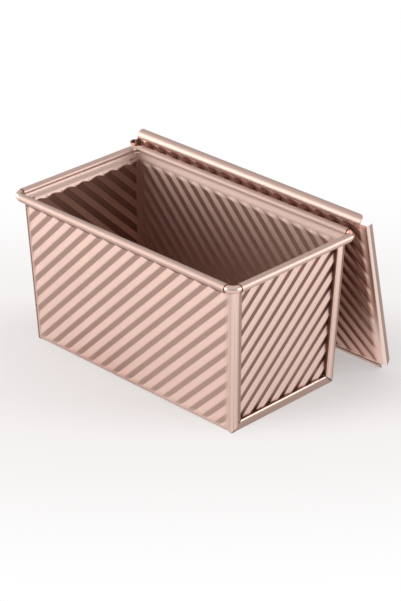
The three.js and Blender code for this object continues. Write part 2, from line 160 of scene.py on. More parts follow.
def buildStripeTree():
    tree = bpy.data.node_groups.new("pressedStripes", "GeometryNodeTree")
    addSockets(tree, "INPUT", "Geometry", "Geometry")
    addSockets(tree, "INPUT", "Float", "Pitch", "Height", "First Crest", "Bright Flank", "Tip Rounding")
    addSockets(tree, "INPUT", "Float", "Level", "Side")
    addSockets(tree, "INPUT", "Material", "Material")
    addSockets(tree, "OUTPUT", "Geometry", "Geometry")
    inputs = addNode(tree, "NodeGroupInput").outputs
    across, lift = (addNode(tree, "GeometryNodeInputNamedAttribute", data_type="FLOAT") for _ in range(2))
    across.inputs["Name"].default_value = "across"
    lift.inputs["Name"].default_value = "lift"
    # a wave from 1 at a crest to -1 at a valley and back, straight on both flanks
    turn = addMath(tree, "SUBTRACT", across.outputs[0], inputs["First Crest"])
    turn = addMath(tree, "FRACT", addMath(tree, "DIVIDE", turn, inputs["Pitch"]))
    flank = inputs["Bright Flank"]
    down = addMath(tree, "DIVIDE", addMath(tree, "MULTIPLY", turn, 2.0), flank)
    down = addMath(tree, "SUBTRACT", 1.0, down)
    rest = addMath(tree, "SUBTRACT", 1.0, flank)
    up = addMath(tree, "MULTIPLY", addMath(tree, "SUBTRACT", turn, flank), 2.0)
    up = addMath(tree, "SUBTRACT", addMath(tree, "DIVIDE", up, rest), 1.0)
    onFlank = addMath(tree, "LESS_THAN", turn, flank)
    down = addMath(tree, "MULTIPLY", down, onFlank)
    up = addMath(tree, "MULTIPLY", up, addMath(tree, "SUBTRACT", 1.0, onFlank))
    wave = addMath(tree, "ADD", down, up)
    # its tips are rounded off
    size = addMath(tree, "ABSOLUTE", wave)
    rounding = inputs["Tip Rounding"]
    over = addMath(tree, "SUBTRACT", size, addMath(tree, "SUBTRACT", 1.0, rounding))
    over = addMath(tree, "MAXIMUM", over, 0.0)
    cut = addMath(tree, "MULTIPLY", over, over)
    cut = addMath(tree, "DIVIDE", cut, addMath(tree, "MULTIPLY", rounding, 2.0))
    wave = addMath(tree, "MULTIPLY", addMath(tree, "SIGN", wave), addMath(tree, "SUBTRACT", size, cut))
    height = addMath(tree, "MULTIPLY", addMath(tree, "ADD", wave, inputs["Level"]), inputs["Height"])
    height = addMath(tree, "MULTIPLY", addMath(tree, "MULTIPLY", height, 0.5), lift.outputs[0])
    height = addMath(tree, "MULTIPLY", height, inputs["Side"])
    normal = addNode(tree, "GeometryNodeInputNormal")
    offset = addNode(tree, "ShaderNodeVectorMath", operation="SCALE")
    tree.links.new(normal.outputs[0], offset.inputs[0])
    tree.links.new(height, offset.inputs["Scale"])
    move = addNode(tree, "GeometryNodeSetPosition")
    tree.links.new(inputs["Geometry"], move.inputs["Geometry"])
    tree.links.new(offset.outputs[0], move.inputs["Offset"])
    realize = addNode(tree, "GeometryNodeRealizeInstances")
    tree.links.new(move.outputs[0], realize.inputs[0])
    paint = addNode(tree, "GeometryNodeSetMaterial")
    tree.links.new(realize.outputs[0], paint.inputs["Geometry"])
    tree.links.new(inputs["Material"], paint.inputs["Material"])
    tree.links.new(paint.outputs[0], addNode(tree, "NodeGroupOutput").inputs[0])
    return tree


stripeTree = buildStripeTree()


def setInput(modifier, name, value):
    for item in modifier.node_group.interface.items_tree:
        if item.item_type == "SOCKET" and item.in_out == "INPUT" and item.name == name:
            modifier[item.identifier] = value
            return
    raise KeyError(name)


# Mesh helpers

def newObject(name, mesh):
    piece = bpy.data.objects.new(name, mesh)
    bpy.context.scene.collection.objects.link(piece)
    return piece


def sharpen(mesh, degrees):
    work = bmesh.new()
    work.from_mesh(mesh)
    for edge in work.edges:
        edge.smooth = len(edge.link_faces) == 2 and edge.calc_face_angle(0) < math.radians(degrees)
    for face in work.faces:
        face.smooth = True
    work.to_mesh(mesh)
    work.free()


def bake(piece, degrees=pan["sharpAbove"]):
    graph = bpy.context.evaluated_depsgraph_get()
    mesh = bpy.data.meshes.new_from_object(piece.evaluated_get(graph))
    piece.modifiers.clear()
    old = piece.data
    piece.data = mesh
    mesh.name = old.name
    bpy.data.meshes.remove(old)
    sharpen(mesh, degrees)
    return piece


def gridSheet(name, points, flip=False):
    index = np.arange(points.shape[0] * points.shape[1]).reshape(points.shape[:2])
    quads = np.stack([index[:-1, :-1], index[:-1, 1:], index[1:, 1:], index[1:, :-1]], -1).reshape(-1, 4)
    if flip:
        quads = quads[:, ::-1]
    mesh = bpy.data.meshes.new(name)
    mesh.from_pydata((points.reshape(-1, 3) * mm).tolist(), [], quads.tolist())
    return newObject(name, mesh)


def stripeLines(stripes, low, high):
    # both edges of every crest and valley, and a line beside each that keeps its flank flat
    pitch, crestAt, flank = stripes["pitch"], stripes["firstCrest"], stripes["brightFlank"]
    half, hold = stripes["tipRounding"] / 2, stripes["hold"] / pitch
    marks = []
    for at, wide in ((0, flank), (flank, 1 - flank)):
        start, end = at + half * wide, at + wide * (1 - half)
        marks += [start, start + hold, end - hold, end]
    lines = []
    turn = math.floor((low - crestAt) / pitch)
    while crestAt + turn * pitch < high:
        lines += [crestAt + (turn + mark) * pitch for mark in marks]
        turn += 1
    return [line for line in lines if low < line < high]


def addWall(piece):
    wall = piece.modifiers.new("wall", "SOLIDIFY")
    wall.thickness = pan["sheet"] * mm
    wall.offset = -1


def pressSheet(piece, stripes, axes, inField, liftOf, material):
    a = math.radians(stripes["angle"])
    across = Vector((0, 0, 0))
    across[axes[0]], across[axes[1]] = -math.sin(a) * axes[2], math.cos(a)
    work = bmesh.new()
    work.from_mesh(piece.data)
    field = [face for face in work.faces if all(inField(*(v.co / mm)) for v in face.verts)]
    reach = [v.co.dot(across) / mm for face in field for v in face.verts]
    edges = {edge for face in field for edge in face.edges}
    corners = {vert for face in field for vert in face.verts}
    geometry = list(edges | corners) + field
    onCut, merged, collapsed = (nearness[key] * mm for key in ("cut", "merge", "collapse"))
    for line in stripeLines(stripes, min(reach), max(reach)):
        place = across * line * mm
        cut = bmesh.ops.bisect_plane(work, geom=geometry, dist=onCut, plane_co=place, plane_no=across)
        geometry = cut["geom"]
    bmesh.ops.remove_doubles(work, verts=work.verts, dist=merged)
    bmesh.ops.dissolve_degenerate(work, edges=work.edges, dist=collapsed)
    bmesh.ops.triangulate(work, faces=[face for face in work.faces if len(face.verts) > 4])
    work.to_mesh(piece.data)
    work.free()
    spots = np.zeros(len(piece.data.vertices) * 3)
    piece.data.vertices.foreach_get("co", spots)
    spots = spots.reshape(-1, 3)
    for key, values in (("across", spots @ np.array(across)), ("lift", liftOf(*(spots / mm).T))):
        layer = piece.data.attributes.new(key, "FLOAT", "POINT")
        layer.data.foreach_set("value", values.astype(np.float32))
    press = piece.modifiers.new("stripes", "NODES")
    press.node_group = stripeTree
    for key, value in (
        ("Pitch", stripes["pitch"] * mm),
        ("Height", stripes["height"] * mm),
        ("First Crest", stripes["firstCrest"] * mm),
        ("Bright Flank", stripes["brightFlank"]),
        ("Tip Rounding", stripes["tipRounding"]),
        ("Level", stripes["level"]),
        ("Side", stripes["side"]),
        ("Material", material),
    ):
        setInput(press, key, value)
    addWall(piece)
    return bake(piece)


def closedSolid(name, rings, closed=False):
    count = len(rings[0])
    points = np.concatenate([np.asarray(ring, float) for ring in rings])
    faces = []
    spans = len(rings) if closed else len(rings) - 1
    for r in range(spans):
        s = (r + 1) % len(rings)
        for i in range(count):
            j = (i + 1) % count
            faces.append((r * count + i, r * count + j, s * count + j, s * count + i))
    if not closed:
        faces.append(tuple(reversed(range(count))))
        faces.append(tuple((len(rings) - 1) * count + i for i in range(count)))
    mesh = bpy.data.meshes.new(name)
    mesh.from_pydata((points * mm).tolist(), [], faces)
    work = bmesh.new()
    work.from_mesh(mesh)
    bmesh.ops.recalc_face_normals(work, faces=work.faces)
    work.to_mesh(mesh)
    work.free()
    return newObject(name, mesh)


def turned(piece, name, matrix):
    other = newObject(name, piece.data.copy())
    other.data.name = name
    other.data.transform(matrix)
    return other


halfTurn = Matrix.Rotation(math.pi, 4, "Z")

# The camera comes first, from the photograph's perspective

camera = {
    "azimuth": 44.91,
    "elevation": 27.12,
    "roll": -0.11,
    "distance": 1521.63,
    "target": (0, 0, 50),
    "slideRight": -12.42,
    "slideUp": 3.61,
    "focalPixels": 2218.73,    # in pixels of the photograph, whose long side is next
    "longSidePixels": 601,
    "sensor": 36,
    "seesTo": 20,              # metres
}


def buildCamera():
    a, e, r = (math.radians(camera[key]) for key in ("azimuth", "elevation", "roll"))
    back = Vector((math.sin(a) * math.cos(e), -math.cos(a) * math.cos(e), math.sin(e)))
    right = Vector((math.cos(a), math.sin(a), 0))
    up = back.cross(right)
    place = Vector(camera["target"]) + back * camera["distance"]
    place -= right * camera["slideRight"] + up * camera["slideUp"]
    rollRight = math.cos(r) * right + math.sin(r) * up
    rollUp = -math.sin(r) * right + math.cos(r) * up
    data = bpy.data.cameras.new("camera")
    data.lens = camera["focalPixels"] * camera["sensor"] / camera["longSidePixels"]
    data.sensor_width = camera["sensor"]
    data.clip_end = camera["seesTo"]
    eye = bpy.data.objects.new("camera", data)
    bpy.context.scene.collection.objects.link(eye)
    turn = Matrix((rollRight, rollUp, back)).transposed().to_4x4()
    eye.matrix_world = Matrix.Translation(place * mm) @ turn
    bpy.context.scene.camera = eye
    print("camera set")


buildCamera()

# Coatings, all of them thin on bright metal: vary swings the colour, grain is the bump's depth

coatings = {
    "wall": {"color": (0.68, 0.487, 0.421), "roughness": 0.46, "vary": 0.05, "grain": 0.012},
    "base": {"color": (0.67, 0.482, 0.418), "roughness": 0.40, "vary": 0.06, "grain": 0.012},
    "end": {"color": (0.645, 0.464, 0.405), "roughness": 0.42, "vary": 0.05, "grain": 0.012},
    # seam: a lighter copy of the wall's coating, painted light on the seams
    "seam": {"color": (0.82, 0.60, 0.525), "roughness": 0.34, "vary": 0.04, "grain": 0.010},
    # foot: a darker copy, painted shade on the foot seam's face
    "foot": {"color": (0.39, 0.27, 0.23), "roughness": 0.34, "vary": 0.04, "grain": 0.010},
    "wire": {"color": (0.76, 0.56, 0.485), "roughness": 0.28, "vary": 0.04, "grain": 0.008},
    # lid and lidBack: lit and shaded copies of one coating, painted light on the lid's face and painted
    # shade on its back
    "lid": {"color": (0.83, 0.60, 0.52), "roughness": 0.30, "vary": 0.05, "grain": 0.012},
    "lidBack": {"color": (0.50, 0.365, 0.32), "roughness": 0.46, "vary": 0.05, "grain": 0.012},
    # roll and rail: darker copies, painted shade on the rolls, the necks, the inside under the rim and the
    # lid's rails
    "roll": {"color": (0.54, 0.395, 0.345), "roughness": 0.62, "vary": 0.05, "grain": 0.012},
    "rail": {"color": (0.58, 0.42, 0.365), "roughness": 0.50, "vary": 0.05, "grain": 0.012},
    # hem is a painted highlight; edge and crease are painted shade in gaps, in thin lines and under the
    # roll
    "hem": {"color": (0.93, 0.75, 0.68), "roughness": 0.32, "vary": 0.04, "grain": 0.010},
    "edge": {"color": (0.40, 0.285, 0.245), "roughness": 0.45, "vary": 0.04, "grain": 0.010},
    "crease": {"color": (0.26, 0.125, 0.09), "roughness": 0.55, "vary": 0.04, "grain": 0.010},
}


grain = {
    "cloud": {"scale": 38, "detail": 4, "share": 1.2},
    "fine": {"scale": 1400, "detail": 2, "share": 0.8},
    "roughnessShare": 0.9,     # of the colour's swing
    "bump": 0.35,
}
flankEdges = {"valley": (-0.03, 0.03), "crest": (1.0, 0.96)}   # where the painted shade on a dark flank fades, in turns


def buildGrainGroup():
    tree = bpy.data.node_groups.new("coatingGrain", "ShaderNodeTree")
    addSockets(tree, "INPUT", "Color", "Color")
    addSockets(tree, "INPUT", "Float", "Roughness", "Vary")
    addSockets(tree, "OUTPUT", "Color", "Color")
    addSockets(tree, "OUTPUT", "Float", "Roughness", "Height")
    inputs = addNode(tree, "NodeGroupInput").outputs
    place = addNode(tree, "ShaderNodeTexCoord")
    cloud, fine = (addNode(tree, "ShaderNodeTexNoise") for _ in range(2))
    shares = []
    for noise, look in ((cloud, grain["cloud"]), (fine, grain["fine"])):
        noise.inputs["Scale"].default_value = look["scale"]
        noise.inputs["Detail"].default_value = look["detail"]
        tree.links.new(place.outputs["Object"], noise.inputs["Vector"])
        shares.append(addMath(tree, "MULTIPLY", noise.outputs["Fac"], look["share"]))
    mixed = addMath(tree, "ADD", *shares)
    swing = addMath(tree, "MULTIPLY", addMath(tree, "SUBTRACT", mixed, 1.0), inputs["Vary"])
    shade = addMath(tree, "ADD", 1.0, swing)
    tint = addNode(tree, "ShaderNodeVectorMath", operation="SCALE")
    tree.links.new(inputs["Color"], tint.inputs[0])
    tree.links.new(shade, tint.inputs["Scale"])
    rough = addMath(tree, "MULTIPLY", swing, grain["roughnessShare"])
    rough = addMath(tree, "ADD", inputs["Roughness"], rough)
    out = addNode(tree, "NodeGroupOutput").inputs
    tree.links.new(tint.outputs[0], out["Color"])
    tree.links.new(rough, out["Roughness"])
    tree.links.new(fine.outputs["Fac"], out["Height"])
    return tree


grainGroup = buildGrainGroup()


def buildFlankGroup():
    # painted shade: a darker colour on the flanks that face away from the lamps, and over a whole striped
    # field
    tree = bpy.data.node_groups.new("paintedShadeGroup", "ShaderNodeTree")
    addSockets(tree, "INPUT", "Color", "Color", "Painted Field Shade", "Painted Flank Shade")
    addSockets(tree, "INPUT", "Float", "Pitch", "First Crest", "Bright Flank")
    addSockets(tree, "OUTPUT", "Color", "Color")
    inputs = addNode(tree, "NodeGroupInput").outputs
    across = addNode(tree, "ShaderNodeAttribute", attribute_name="across")
    lift = addNode(tree, "ShaderNodeAttribute", attribute_name="lift")
    turn = addMath(tree, "SUBTRACT", across.outputs["Fac"], inputs["First Crest"])
    turn = addMath(tree, "FRACT", addMath(tree, "DIVIDE", turn, inputs["Pitch"]))
    fromValley = addMath(tree, "SUBTRACT", turn, inputs["Bright Flank"])
    rise = addFade(tree, fromValley, flankEdges["valley"])
    drop = addFade(tree, turn, flankEdges["crest"])
    mask = addMath(tree, "MULTIPLY", rise, drop)
    mask = addMath(tree, "MULTIPLY", mask, lift.outputs["Fac"])
    color = inputs["Color"]
    for amount, tone in ((lift.outputs["Fac"], "Painted Field Shade"), (mask, "Painted Flank Shade")):
        shade = addNode(tree, "ShaderNodeMix", data_type="RGBA", blend_type="MULTIPLY")
        tree.links.new(amount, shade.inputs[0])
        tree.links.new(color, shade.inputs[6])
        tree.links.new(inputs[tone], shade.inputs[7])
        color = shade.outputs[2]
    tree.links.new(color, addNode(tree, "NodeGroupOutput").inputs["Color"])
    return tree


flankGroup = buildFlankGroup()


# paints shade into a coating's colour, on its darker flanks and over its field
def shadeFlanks(material, stripes, tone, paintedFieldShade=(1, 1, 1)):
    tree = material.node_tree
    shader = tree.nodes["Principled BSDF"]
    group = addNode(tree, "ShaderNodeGroup", node_tree=flankGroup)
    tree.links.new(shader.inputs["Base Color"].links[0].from_socket, group.inputs["Color"])
    group.inputs["Painted Field Shade"].default_value = (*paintedFieldShade, 1)
    group.inputs["Painted Flank Shade"].default_value = (*tone, 1)
    group.inputs["Pitch"].default_value = stripes["pitch"] * mm
    group.inputs["First Crest"].default_value = stripes["firstCrest"] * mm
    group.inputs["Bright Flank"].default_value = stripes["brightFlank"]
    tree.links.new(group.outputs["Color"], shader.inputs["Base Color"])


def buildCoating(name):
    look = coatings[name]
    material = bpy.data.materials.new(name + "Coating")
    material.use_nodes = True
    tree = material.node_tree
    shader = tree.nodes["Principled BSDF"]
    group = addNode(tree, "ShaderNodeGroup", node_tree=grainGroup)
    group.inputs["Color"].default_value = (*look["color"], 1)
    group.inputs["Roughness"].default_value = look["roughness"]
    group.inputs["Vary"].default_value = look["vary"]
    tree.links.new(group.outputs["Color"], shader.inputs["Base Color"])
    tree.links.new(group.outputs["Roughness"], shader.inputs["Roughness"])
    shader.inputs["Metallic"].default_value = 1
    bump = addNode(tree, "ShaderNodeBump")
    bump.inputs["Strength"].default_value = grain["bump"]
    bump.inputs["Distance"].default_value = look["grain"] * mm
    tree.links.new(group.outputs["Height"], bump.inputs["Height"])
    tree.links.new(bump.outputs["Normal"], shader.inputs["Normal"])
    return material


coats = {name: buildCoating(name) for name in coatings}
print("coatings", len(coats))

# Long walls: underside lip, folded edge, striped wall, neck and rim roll in one sheet

longWall = {
    "stripes": {
        "pitch": 8.6,
        "height": 1.15,
        "angle": 44.1,
        "firstCrest": -1.65,
        "brightFlank": 0.583,
        "tipRounding": 0.12,
        "hold": 0.25,
        "level": 0,
        "side": -1,
    },
    # painted shade on the walls' dark flanks
    "paintedFlankShade": (0.71, 0.67, 0.66),
    "foldRadius": 0.8,
    "foldSteps": 5,
    "lip": 4.6,                # on the underside, from the wall's outside
    "lipStep": 3.0,
    "neckFrom": 104.8,
    "rollToneFrom": 104.6,     # the coating is rougher and painted darker, as painted shade, on the neck and the roll
    "innerToneFrom": 103.0,    # and inside, painted shade under the rim
    "rollShadowBand": (103.0, 104.2),   # a painted shadow line under the roll, outside
    "rollShadowSpan": (-98, 91),
    "footShadowTo": 1.1,       # and a painted shadow line along the foot
    "cutEdgeFrom": 107,        # the roll's cut ends are painted dark, as painted shade
    "cutEdgeReach": 2,         # from the wire's middle inwards
    "cornerTop": 106.8,        # the sheet's edge beside the roll's cut ends
    "edgeInset": 0.7,          # from the seam's outside to the sheet's edge
    "edgeLines": (0, 0.5, 0.85, 1.1, 1.35, 1.6),
    "fieldLines": (5, 12),     # columns across the fade at the left and at the right
    "leftFade": (2.5, 4.2),
    "rightFade": (2.8, 8.4),
    "footFade": (1.2, 5.2),
    "sunk": 0.6,               # the striped field lies this much further in
    "sunkFrom": (2.5, 9.5),    # over this at the right
    "footSunk": 0.7,           # and the lip this much further up
    "lipRise": (0.5, -1.5),    # from past the lip's edge to before the wall's outside
    "topFade": (103.0, 105.4),
    "grooveDepth": 0.55,       # the edges dip in behind the seam's bead
    "groove": (1.75, 2.5),
}
rows = {
    "foot": 9,                 # across the fade at a wall's foot
    "belowTop": 0.8,           # a row just below the top's fade keeps its normals off the stripes
    "neck": 4,
}
slack = {"field": 0.3, "edge": 0.1, "level": 0.01}   # a field's faces are picked this far past its lines
facing = {"straight": 0.7, "aslant": 0.3, "level": 0.1}   # how much of a face's normal looks one way


def rolledProfile(atWall, toWire, neckFrom, foot):
    start = (atWall(neckFrom), neckFrom)
    slope = (atWall(neckFrom) - atWall(0)) / neckFrom
    wireZ, radius = rim["wireZ"], rim["rollRadius"]
    reach = wireZ - neckFrom
    rollStart = (toWire - radius, wireZ)
    neck = curvePoints(start, (slope * reach, reach), rollStart, (0, reach), rim["neckSteps"])
    roll = arcPoints((toWire, wireZ), radius, 180, -rim["rollWrap"], rim["rollSteps"])
    return joinPoints(foot, neck, roll)


def onRollOf(profile, foot):
    start, end = rim["narrowing"]
    return ramp(np.arange(len(profile)), len(foot) + start, len(foot) + end)[:, None]


def fadeLines(edgeLines, fade, count, inset):
    return list(edgeLines) + list(np.linspace(*fade, count) - inset)


def spacedColumns(half, leftLines, rightLines):
    half = half[:, 0]
    left, right = np.array(leftLines), np.array(rightLines)
    count = max(2, int((2 * half.max() - left[-1] - right[-1]) / pan["cell"]))
    middle = np.linspace(0, 1, count + 1)[1:-1]
    columns = [-half + s for s in left]
    columns += [(-half + left[-1]) * (1 - t) + (half - right[-1]) * t for t in middle]
    columns += [half - s for s in right[::-1]]
    return np.stack(columns, 1)


def wallRows(atWall, foot, fade, top, neckFrom):
    low = np.linspace(foot, fade, rows["foot"])
    count = max(2, int((top - fade) / pan["cell"]))
    middle = np.linspace(fade, top - rows["belowTop"], count + 1)[1:]
    high = np.linspace(top, neckFrom, rows["neck"])
    z = np.concatenate([low, middle, high])
    return np.stack([atWall(z), z], 1)


def buildLongWall():
    s = longWall
    floor, r = pan["sheet"] + pan["recess"], s["foldRadius"]

    def inside(z):
        return wallAt(z) - pan["sheet"] - pan["recess"]

    foot = joinPoints(
        linePoints((wallAt(0) - s["lip"], floor), (inside(r) - r, floor), s["lipStep"]),
        arcPoints((inside(r) - r, floor + r), r, -90, 90, s["foldSteps"]),
        wallRows(inside, floor + r, s["footFade"][1], s["topFade"][0], s["neckFrom"]),
    )
    profile = rolledProfile(inside, rim["wireY"], s["neckFrom"], foot)
    out, z = profile[:, 0][:, None], profile[:, 1][:, None]
    onRoll = onRollOf(profile, foot)
    wallHalf, rollHalf = endAt(np.minimum(z, s["cornerTop"])) - s["edgeInset"], rim["wireX"] - rim["bend"]
    u = spacedColumns(
        wallHalf * (1 - onRoll) + rollHalf * onRoll,
        fadeLines(s["edgeLines"], s["leftFade"], s["fieldLines"][0], s["edgeInset"]),
        fadeLines(s["edgeLines"], s["sunkFrom"], s["fieldLines"][1], s["edgeInset"]),
    )
    dip = s["grooveDepth"] * (1 - ramp(endAt(z) - np.abs(u), *s["groove"])) * (1 - onRoll)
    sunk = ramp(endAt(z) + u, *s["leftFade"]) * ramp(endAt(z) - u, *s["sunkFrom"])
    sunk = s["sunk"] * sunk * ramp(z, *s["footFade"]) * (1 - ramp(z, *s["topFade"]))
    riseFrom, riseTo = wallAt(0) - s["lip"] + s["lipRise"][0], wallAt(0) + s["lipRise"][1]
    atFoot = ramp(out, riseFrom, riseTo) * (1 - ramp(z, *s["footFade"]))
    sunk = sunk + s["footSunk"] * atFoot * ramp(endAt(z) - np.abs(u), *s["leftFade"])
    points = np.stack([u, -(out - dip - sunk), z * np.ones_like(u)], -1)
    piece = gridSheet("front_wall", points, flip=True)
    low, high = floor + r - slack["level"], s["topFade"][1] + slack["field"]

    def liftOf(x, y, z):
        ends = ramp(endAt(z) + x, *s["leftFade"]) * ramp(endAt(z) - x, *s["rightFade"])
        return ends * ramp(z, *s["footFade"]) * (1 - ramp(z, *s["topFade"]))

    def inField(x, y, z):
        return low < z < high and abs(x) < endAt(z) - s["leftFade"][0] + slack["field"]

    piece = pressSheet(piece, s["stripes"], (0, 2, 1), inField, liftOf, coats["wall"])
    piece.data.materials.append(coats["roll"])
    piece.data.materials.append(coats["crease"])
    # painted shade: the shadow line under the roll, the roll's cut ends and the foot's line in crease; the
    # neck, the roll and the inside under the rim in the darker roll coat
    (bandFrom, bandTo), (spanFrom, spanTo) = s["rollShadowBand"], s["rollShadowSpan"]
    for face in piece.data.polygons:
        x, y, z = face.center / mm
        outer, inner = face.normal.y < -facing["aslant"], face.normal.y > facing["aslant"]
        inRollShadow = bandFrom < z < bandTo and spanFrom < x < spanTo
        cutEdge = abs(y) > rim["wireY"] - s["cutEdgeReach"] and abs(face.normal.x) > facing["straight"]
        atFoot = z < s["footShadowTo"] and face.normal.z < facing["level"]
        if inRollShadow and outer or z > s["cutEdgeFrom"] and cutEdge or atFoot:
            face.material_index = 2
        elif z > s["rollToneFrom"] or z > s["innerToneFrom"] and inner:
            face.material_index = 1
    return piece


shadeFlanks(coats["wall"], longWall["stripes"], longWall["paintedFlankShade"])
frontWall = buildLongWall()
backWall = turned(frontWall, "back_wall", halfTurn)
print("long walls", len(frontWall.data.polygons))

# Bottom sheet, its grooves pressed upwards

panFloor = {
    "stripes": {
        "pitch": 8.6,
        "height": 1.1,
        "angle": 44.1,
        "firstCrest": 0.0,
        "brightFlank": 0.5,
        "tipRounding": 0.24,
        "hold": 0.3,
        "level": -1,
        "side": -1,
    },
    "fade": (3.8, 6.5),
    "sideFade": (4.7, 7.5),
    "fadeLines": 5,
    "endInset": 0.9,
    "endLine": 1.5,
}


def buildPanFloor():
    s = panFloor
    xLines = fadeLines((0, s["endLine"]), s["fade"], s["fadeLines"], s["endInset"])
    yLines = fadeLines((0,), s["sideFade"], s["fadeLines"], longWall["lip"])
    x = spacedColumns(np.array([[endAt(0) - s["endInset"]]]), xLines, xLines)[0]
    y = spacedColumns(np.array([[wallAt(0) - longWall["lip"]]]), yLines, yLines)[0]
    grid = np.stack(np.meshgrid(x, y), -1)
    points = np.concatenate([grid, np.full((*grid.shape[:2], 1), pan["sheet"] + pan["recess"])], -1)
    piece = gridSheet("pan_floor", points)

    def liftOf(x, y, z):
        return ramp(endAt(0) - np.abs(x), *s["fade"]) * ramp(wallAt(0) - np.abs(y), *s["sideFade"])

    def inField(x, y, z):
        return True

    return pressSheet(piece, s["stripes"], (0, 1, -1), inField, liftOf, coats["base"])


floorSheet = buildPanFloor()
print("bottom sheet", len(floorSheet.data.polygons))

# End panels, set back inside the seams and rolled round the wire at the top

endPanel = {
    "stripes": {
        "pitch": 9.36,
        "height": 1.25,
        "angle": 44.2,
        "firstCrest": -1.06,
        "brightFlank": 0.44,
        "tipRounding": 0.10,
        "hold": 0.22,
        "level": -0.3,
        "side": -1,
    },
    # painted shade on the end panels' dark flanks
    "paintedFlankShade": (0.40, 0.318, 0.284),
    "setBack": 2.3,            # behind the seam's outside
    "footAt": 0.8,
    "footStep": 2,
    "neckFrom": 104.6,
    "cornerTop": 106.5,        # the sheet's edge beside the roll's cut ends
    "edgeInset": 0.75,
    "edgeLines": (0, 1.5),
    "fieldLines": 5,
    "fade": (2.6, 4.6),
    "topFade": (104.0, 105.4),
}


def buildEndPanel():
    s = endPanel

    def inside(z):
        return endAt(z) - s["setBack"] - pan["sheet"]

    start, fadeFrom, fadeTo = s["footAt"], *s["fade"]
    foot = joinPoints(
        linePoints((inside(start), start), (inside(fadeFrom), fadeFrom), s["footStep"]),
        wallRows(inside, fadeFrom, fadeTo, s["topFade"][0], s["neckFrom"]),
    )
    profile = rolledProfile(inside, rim["wireX"], s["neckFrom"], foot)
    out, z = profile[:, 0][:, None], profile[:, 1][:, None]
    onRoll = onRollOf(profile, foot)
    wallHalf, rollHalf = wallAt(np.minimum(z, s["cornerTop"])) - s["edgeInset"], rim["wireY"] - rim["bend"]
    lines = fadeLines(s["edgeLines"], s["fade"], s["fieldLines"], s["edgeInset"])
    u = spacedColumns(wallHalf * (1 - onRoll) + rollHalf * onRoll, lines, lines)
    points = np.stack([out * np.ones_like(u), u, z * np.ones_like(u)], -1)
    piece = gridSheet("right_panel", points, flip=True)
    low, high = fadeFrom - slack["field"], s["topFade"][1] + slack["field"]

    def liftOf(x, y, z):
        sides = ramp(wallAt(z) - np.abs(y), *s["fade"])
        return sides * ramp(z, *s["fade"]) * (1 - ramp(z, *s["topFade"]))

    def inField(x, y, z):
        return low < z < high and abs(y) < wallAt(z) - fadeFrom + slack["field"]

    piece = pressSheet(piece, s["stripes"], (1, 2, 1), inField, liftOf, coats["end"])
    # the roll's cut ends are painted dark, as painted shade
    piece.data.materials.append(coats["crease"])
    for face in piece.data.polygons:
        onEnd = face.center.x / mm > rim["wireX"] - longWall["cutEdgeReach"]
        onEnd = onEnd and face.center.z / mm > longWall["cutEdgeFrom"]
        face.material_index = int(onEnd and abs(face.normal.y) > facing["straight"])
    return piece


shadeFlanks(coats["end"], endPanel["stripes"], endPanel["paintedFlankShade"])
rightPanel = buildEndPanel()
leftPanel = turned(rightPanel, "left_panel", halfTurn)
print("end panels", len(rightPanel.data.polygons))

# Lock seams: the wall sheet folded round each end panel's edge, mitred at the bottom

seam = {
    "width": 8.5,              # of the uprights
    "footWidth": 7.4,
    "shade": (2.0, 6.0),       # painted shade darkens the coating from here to there across an upright
    "paintedUprightShade": (0.50, 0.46, 0.44),
    "foldRadius": 1.5,
    "foldSteps": 8,
    "innerRadius": 0.6,
    "innerSteps": 6,
    "pillow": 1.0,             # how far the face swells outwards
    "footPillow": 0.1,
    "faceSteps": 10,
    "lap": 0.3,                # a thin painted shadow line where the fold's leaf ends
    "hem": (1.75, 1.3),        # a thin painted shadow line beside the inner edge's hem
    "bead": 1.75,              # how far the fold reaches round onto the long wall
    "beadRadius": 0.4,
    "beadSteps": 4,
    "depth": 2.3,
    "backEdge": (1.5, 1.2),    # the hidden side's corners beside the long wall
    "mitreGap": 0.5,
    "top": 107.3,
    "bevel": 0.3,
    "bevelSteps": 2,
    "sharpAbove": 50,          # degrees
}


def seamOutline(w, pillow):
    # in distance in from the fold and height over the seam's face
    s = seam
    r, q, k, (deepAt, beadAt) = s["foldRadius"], s["innerRadius"], s["beadRadius"], s["backEdge"]
    faceFrom, faceTo = r + s["lap"], w - s["hem"][0]
    outer = arcPoints((r, -r), r, 180, -90, s["foldSteps"])
    inner = arcPoints((w - q, -q), q, 90, -90, s["innerSteps"])
    bead = arcPoints((k, k - s["bead"]), k, -90, -90, s["beadSteps"])
    outline = [tuple(p) for p in outer]
    for t in np.linspace(0, 1, s["faceSteps"] + 1):
        outline.append((faceFrom + (faceTo - faceFrom) * t, pillow * math.sin(math.pi * t)))
    outline += [(w - s["hem"][1], 0)] + [tuple(p) for p in inner]
    outline += [(w, -s["depth"]), (deepAt, -s["depth"]), (beadAt, -s["bead"])]
    return outline + [tuple(p) for p in bead]


def seamLeg(name, outline, stations, legCoats, coatAt, shade=(0, 1)):
    tilt = math.hypot(1, pan["endFlare"] / pan["height"])
    rings = []
    for station in stations:
        ring = []
        for c, depth in outline:
            y, z = station(c)
            ring.append((endAt(z) + depth * tilt, y, z))
        rings.append(ring)
    piece = closedSolid(name, rings)
    # the lift attribute carries the painted shade across the upright
    lift = piece.data.attributes.new("lift", "FLOAT", "POINT")
    shaded = ramp([c for c, _ in outline] * len(stations), *shade)
    lift.data.foreach_set("value", shaded.astype(np.float32))
    for coat in legCoats:
        piece.data.materials.append(coat)
    for i, (start, end) in enumerate(zip(outline, outline[1:] + outline[:1])):
        piece.data.polygons[i].material_index = coatAt((start[0] + end[0]) / 2, (start[1] + end[1]) / 2)
    # the caps, the mitres' ends among them, are painted dark, as painted shade in the gaps
    for cap in piece.data.polygons[len(outline):]:
        cap.material_index = len(legCoats) - 1
    soften = piece.modifiers.new("soften", "BEVEL")
    soften.width = seam["bevel"] * mm
    soften.segments = seam["bevelSteps"]
    soften.limit_method = "ANGLE"
    soften.angle_limit = math.radians(seam["sharpAbove"])
    return bake(piece, seam["sharpAbove"])


